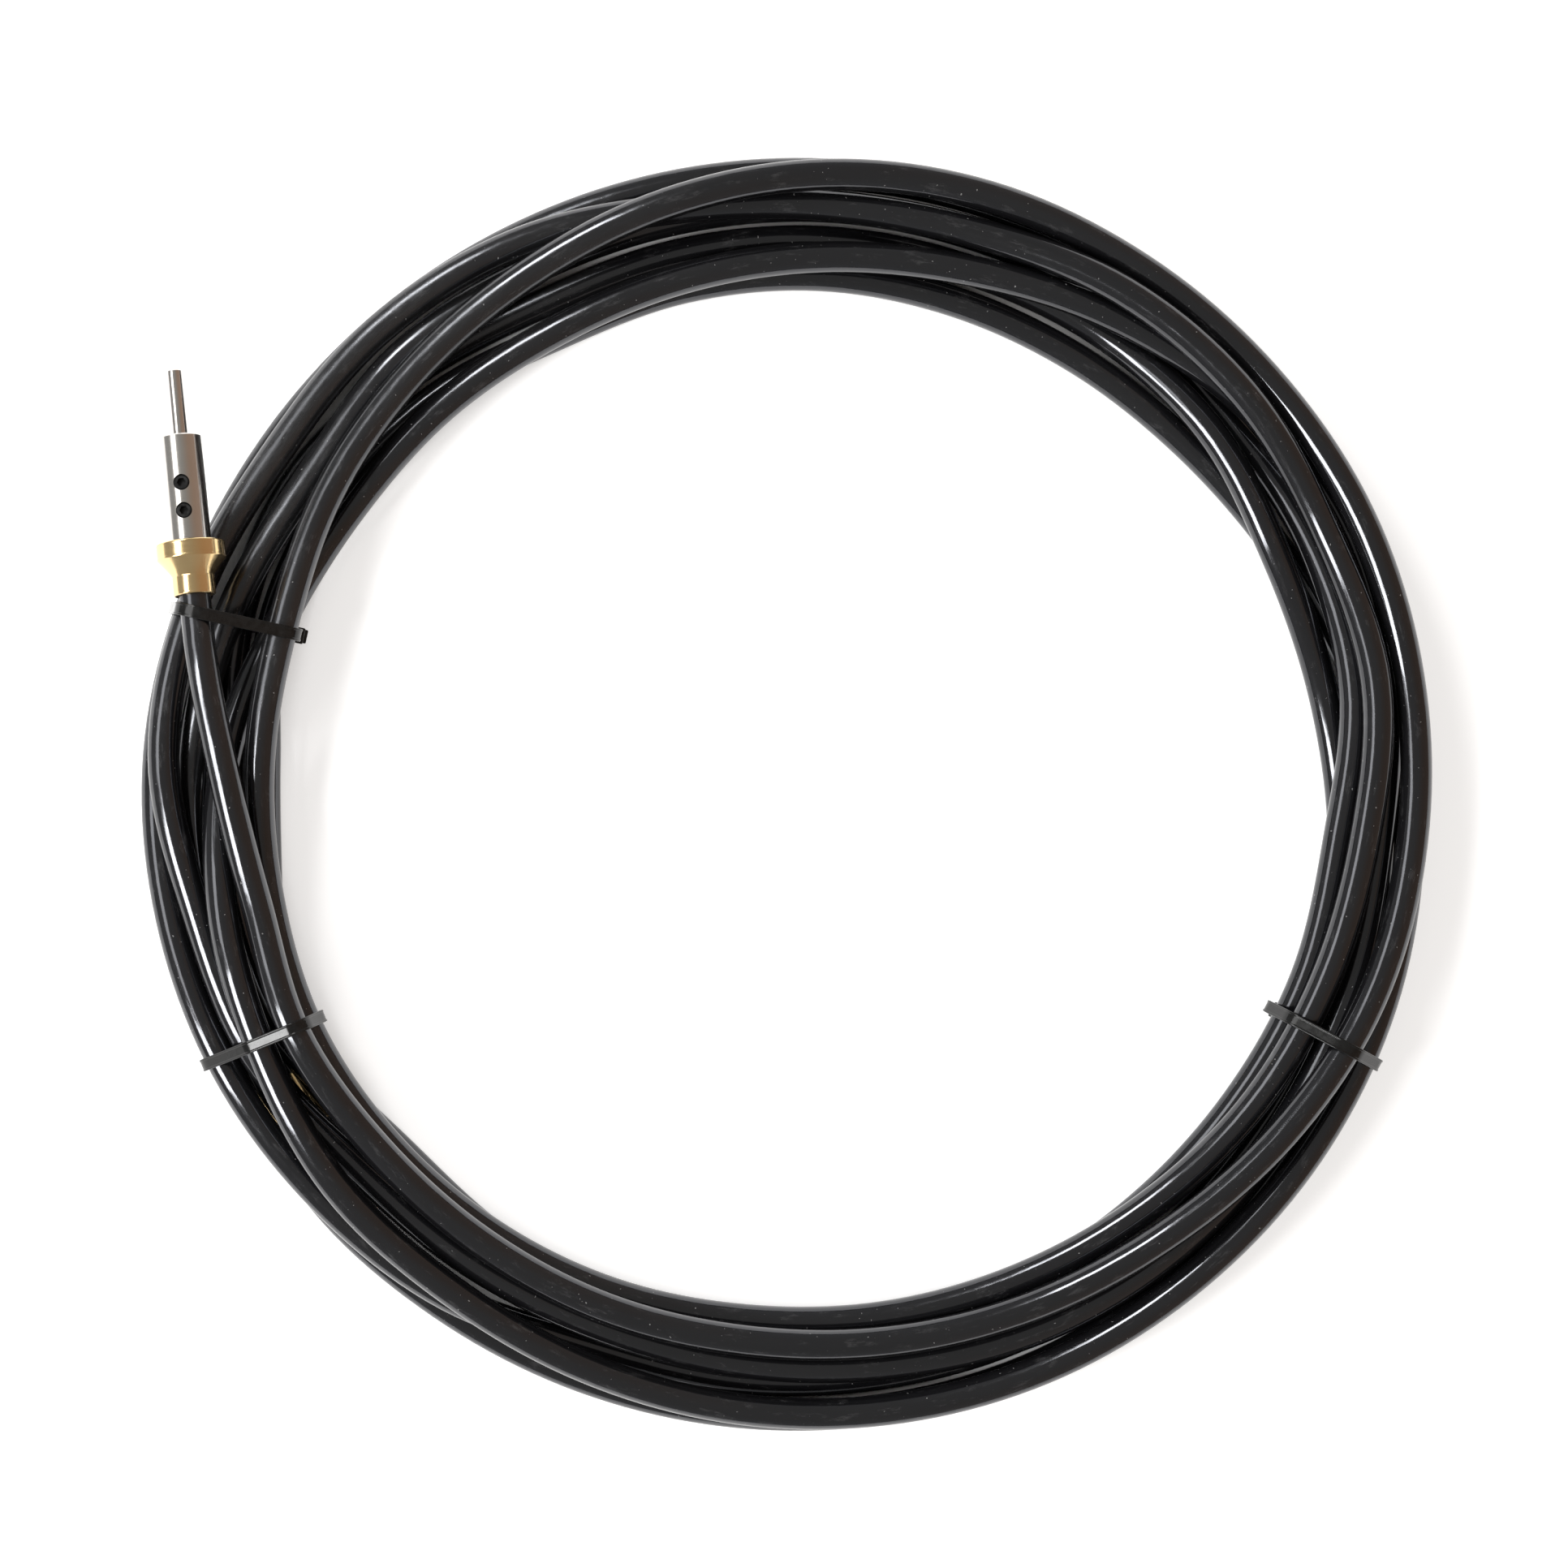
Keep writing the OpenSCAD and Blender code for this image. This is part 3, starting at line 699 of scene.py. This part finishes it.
def soften(piece, width, segments=2):
    """Rounds the sharp edges and keeps the flat faces flat."""
    bevel = piece.modifiers.new("round", "BEVEL")
    bevel.width = width
    bevel.segments = segments
    bevel.limit_method = "ANGLE"
    bevel.angle_limit = math.radians(35)
    normals = piece.modifiers.new("normals", "WEIGHTED_NORMAL")
    normals.keep_sharp = True


def head(name, plane, places, share):
    """The head, on the run of strap that follows the strand farthest towards HEAD_SIDE."""
    side = np.array([math.cos(HEAD_SIDE), math.sin(HEAD_SIDE)])
    onward = np.array([-side[1], side[0]])
    start = max(places, key=lambda place: place @ side)
    runs = [p - start for p in places if np.linalg.norm(p - start) > CASING_D / 2]
    straight = min(runs, key=lambda v: math.atan2(-v @ side, v @ onward) % (2 * math.pi))
    tangent = unit(straight)
    heading = np.array([tangent[1], -tangent[0]])
    base = start + straight * share + heading * TIE_REACH
    vertices, faces = [], []

    def block(x0, x1, y0, y1, w):
        """A block from x0 to x1 outward, y0 to y1 along the strap and w wide."""
        first = len(vertices)
        for x in (x0, x1):
            for y in (y0, y1):
                for along in (-w / 2, w / 2):
                    out, z = base + heading * x + tangent * y
                    vertices.append(in_row(plane, out, max(z, 0), along))
        for face in ((2, 3, 1, 0), (5, 7, 6, 4), (1, 5, 4, 0), (6, 7, 3, 2), (4, 6, 2, 0), (3, 7, 5, 1)):
            faces.append(tuple(first + k for k in face))

    half = HEAD_L / 2
    middle = HEAD_T / 2
    block(0, HEAD_T * 0.72, -half, half, HEAD_W)
    block(HEAD_T * 0.6, HEAD_T, -half + HEAD_WALL, half - HEAD_WALL / 2, HEAD_W - HEAD_WALL)
    block(middle - TIE_T / 2, middle + TIE_T / 2, half - HEAD_WALL, half + STUB_L, TIE_W)
    piece = new_object(name, vertices, faces)
    soften(piece, 0.0005, 3)
    return piece


nylon = nylon_material()
for name, (azimuth, tilt, slack, share) in TIES.items():
    plane = tie_frame(azimuth, tilt)
    section = [
        place - np.array([loose, 0])
        for offset in (-TIE_W / 2, TIE_W / 2)
        for place in crossings(plane, offset)
        for loose in (0.0, slack)
    ]
    for piece in (
        strap(name + "_strap", plane, section),
        head(name + "_head", plane, section, share),
    ):
        piece.data.materials.append(nylon)
        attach(piece, "coil")
        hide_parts(name)

# ---------------------------------------------------------------- fittings

brass = metal_material("brass", (0.95, 0.74, 0.4), (0.86, 0.6, 0.3), 0.15, (40, 2400, 40))
coupler_steel = metal_material(
    "coupler_steel", (0.7, 0.68, 0.65), (0.62, 0.59, 0.56), 0.15, (60, 3000, 60)
)
pin_steel = metal_material("pin_steel", (0.7, 0.68, 0.66), (0.62, 0.59, 0.56), 0.14, (60, 2600, 60))
washer_steel = metal_material("washer_steel", (0.6, 0.6, 0.58), (0.5, 0.5, 0.48), 0.3, (90, 90, 90))
wire_end = metal_material("core_wire_end", (0.5, 0.49, 0.46), (0.4, 0.39, 0.37), 0.35, (200, 500, 200))
black_steel = black_steel_material()
FINISHES = {
    "drive_thrust_washer": washer_steel,
    "tool_thrust_washer": washer_steel,
    "drive_core_end": wire_end,
    "tool_core_end": wire_end,
    "drive_coupler": coupler_steel,
    "tool_coupler": coupler_steel,
    "drive_pin": pin_steel,
    "tool_stud": pin_steel,
    "drive_core_screw": black_steel,
    "drive_pin_screw": black_steel,
    "tool_core_screw": black_steel,
    "tool_stud_screw": black_steel,
}
for name, material in FINISHES.items():
    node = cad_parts[name]
    node.data.materials.clear()
    node.data.materials.append(material)


def ferrule(node, outside, length, mouth, axis):
    """A brass ferrule: its outside as turned, the casing's seat and the hole for the core."""
    seat_r = CASING_D / 2 + CASING_FIT
    hole_r = CORE_D / 2 + RUNNING_FIT
    inside = [
        (length, hole_r + EDGE),
        (length - EDGE, hole_r),
        (CASING_SEAT, hole_r),
        (CASING_SEAT, seat_r),
        (EDGE, seat_r),
        (0, seat_r + EDGE),
    ]
    piece = turned(node + "_turned", outside + inside, mouth, axis)
    piece.data.materials.append(brass)
    soften(piece, 0.00012)
    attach(piece, "coil")
    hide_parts(node)
    return piece


def groove(place, r, depth, half_width=0.3):
    """A fine turned line round a piece."""
    return [(place - half_width, r), (place, r - depth), (place + half_width, r)]


FLARE_STEPS = 8
FLARE_CURVE = 1.15
COLLAR_EASE = 0.3
FACE_LINE_R = 9.2
LINE_W = 0.2

flare_end = NECK_L + FLARE_L
flare = [
    (NECK_L + FLARE_L * share, NECK_R + (COLLAR_R - COLLAR_EASE - NECK_R) * share**FLARE_CURVE)
    for share in (k / FLARE_STEPS for k in range(FLARE_STEPS + 1))
]
ferrule(
    "drive_ferrule",
    [(0, NECK_R - EDGE), (EDGE, NECK_R)]
    + groove(1.1, NECK_R, 0.08)
    + [(NECK_L - 0.5, NECK_R), (NECK_L - 0.25, NECK_R - 0.15)]
    + flare
    + [(flare_end + COLLAR_EASE, COLLAR_R)]
    + groove(flare_end + 1.2, COLLAR_R, 0.06, LINE_W)
    + groove(DRIVE_FERRULE_L - 1.2, COLLAR_R, 0.06, LINE_W)
    + [(DRIVE_FERRULE_L - EDGE, COLLAR_R), (DRIVE_FERRULE_L, COLLAR_R - EDGE)]
    + [(DRIVE_FERRULE_L, FACE_LINE_R + LINE_W), (DRIVE_FERRULE_L - 0.15, FACE_LINE_R)]
    + [(DRIVE_FERRULE_L, FACE_LINE_R - LINE_W)],
    DRIVE_FERRULE_L,
    drive_mouth,
    drive_axis,
)
tool_ferrule = ferrule(
    "tool_ferrule",
    [(0, TOOL_SLEEVE_R - EDGE), (EDGE, TOOL_SLEEVE_R)]
    + groove(2.0, TOOL_SLEEVE_R, 0.08)
    + groove(TOOL_SLEEVE_L - 2.0, TOOL_SLEEVE_R, 0.08)
    + [(TOOL_SLEEVE_L - EDGE, TOOL_SLEEVE_R), (TOOL_SLEEVE_L, TOOL_SLEEVE_R - EDGE)],
    TOOL_SLEEVE_L,
    tool_mouth,
    tool_axis,
)

# ---------------------------------------------------------------- floor, world and lamps


FLOOR_SIZE = 16.0
FLOOR_GLOW = 0.66
GAP_SHADE_REACH = 0.06


def paper_material():
    """Pale paper that the camera, gloss and glass see lighter, with painted shade: the glow fades out in
    the narrow gaps between the strands.
    """
    m = Nodes("paper")
    m.set(Base_Color=(0.8, 0.8, 0.8, 1), Roughness=0.9)
    rays = m.add("ShaderNodeLightPath")
    seen = rays.outputs["Is Camera Ray"]
    for other in ("Is Glossy Ray", "Is Transmission Ray"):
        either = m.add("ShaderNodeMath", operation="MAXIMUM")
        m.link(seen, either.inputs[0])
        m.link(rays.outputs[other], either.inputs[1])
        seen = either.outputs[0]
    # Painted shade: ambient occlusion takes the floor's glow away in the narrow gaps between the strands
    room = m.add("ShaderNodeAmbientOcclusion", samples=16)
    room.inputs["Distance"].default_value = GAP_SHADE_REACH
    unshaded_share = m.ramp(room.outputs["AO"], [(0.12, 0.0), (0.5, 1.0)])
    glow = m.add("ShaderNodeMath", operation="MULTIPLY")
    m.link(seen, glow.inputs[0])
    m.link(unshaded_share, glow.inputs[1])
    strength = m.add("ShaderNodeMath", operation="MULTIPLY")
    m.link(glow.outputs[0], strength.inputs[0])
    strength.inputs[1].default_value = FLOOR_GLOW
    m.shader.inputs["Emission Color"].default_value = (1, 1, 1, 1)
    m.link(strength.outputs[0], m.shader.inputs["Emission Strength"])
    return m.material


floor_mesh = bpy.data.meshes.new("floor")
reach = FLOOR_SIZE / 2
floor_mesh.from_pydata(
    [(-reach, -reach, 0), (reach, -reach, 0), (reach, reach, 0), (-reach, reach, 0)],
    [],
    [(0, 1, 2, 3)],
)
floor = bpy.data.objects.new("floor", floor_mesh)
floor_mesh.materials.append(paper_material())
bpy.context.scene.collection.objects.link(floor)

WORLD_STRENGTH = 0.9
LEVEL_GREY = (0.38, 0.38, 0.38)
TOP_GREY = (0.33, 0.32, 0.3)
RIGHT_TINT = (1.1, 0.8, 0.63)


def sky_ramp(sky, place, stops):
    """A colour that changes with a coordinate, from (position, colour) stops."""
    ramp = sky.nodes.new("ShaderNodeValToRGB")
    for element, (position, colour) in zip(ramp.color_ramp.elements, stops):
        element.position = position
        element.color = (*colour, 1)
    sky.links.new(place, ramp.inputs["Fac"])
    return ramp.outputs["Color"]


def studio_world():
    """A plain grey room, a little darker overhead and warmer to the right."""
    world = bpy.data.worlds.new("world")
    world.use_nodes = True
    sky = world.node_tree
    place = sky.nodes.new("ShaderNodeTexCoord")
    split = sky.nodes.new("ShaderNodeSeparateXYZ")
    tint = sky.nodes.new("ShaderNodeMix")
    tint.data_type = "RGBA"
    tint.blend_type = "MULTIPLY"
    tint.inputs[0].default_value = 1.0
    sky.links.new(place.outputs["Generated"], split.inputs[0])
    fade = sky_ramp(sky, split.outputs["Z"], [(0.0, LEVEL_GREY), (0.75, TOP_GREY)])
    warm = sky_ramp(sky, split.outputs["X"], [(0.1, (1, 1, 1)), (0.75, RIGHT_TINT)])
    sky.links.new(fade, tint.inputs[6])
    sky.links.new(warm, tint.inputs[7])
    sky.links.new(tint.outputs[2], sky.nodes["Background"].inputs["Color"])
    sky.nodes["Background"].inputs["Strength"].default_value = WORLD_STRENGTH
    return world


bpy.context.scene.world = studio_world()


def lamp(name, azimuth, tilt, distance, size, power):
    """A long soft lamp: tilt is its angle from straight above, azimuth where it stands."""
    data = bpy.data.lights.new(name, "AREA")
    data.shape = "RECTANGLE"
    data.size, data.size_y = size
    data.energy = power
    obj = bpy.data.objects.new(name, data)
    a, t = math.radians(azimuth), math.radians(tilt)
    obj.location = (
        distance * math.sin(t) * math.cos(a),
        distance * math.sin(t) * math.sin(a),
        distance * math.cos(t),
    )
    obj.rotation_euler = (-Vector(obj.location)).to_track_quat("-Z", "Y").to_euler()
    bpy.context.scene.collection.objects.link(obj)


lamp("strip_left", 202, 45, 2.2, (0.4, 1.0), 27)
lamp("strip_back", 125, 47, 2.2, (0.45, 0.6), 18)
lamp("panel_left", 166, 40, 2.4, (1.3, 0.8), 13)

# ---------------------------------------------------------------- render settings

scene = bpy.context.scene
scene.view_settings.view_transform = "Standard"
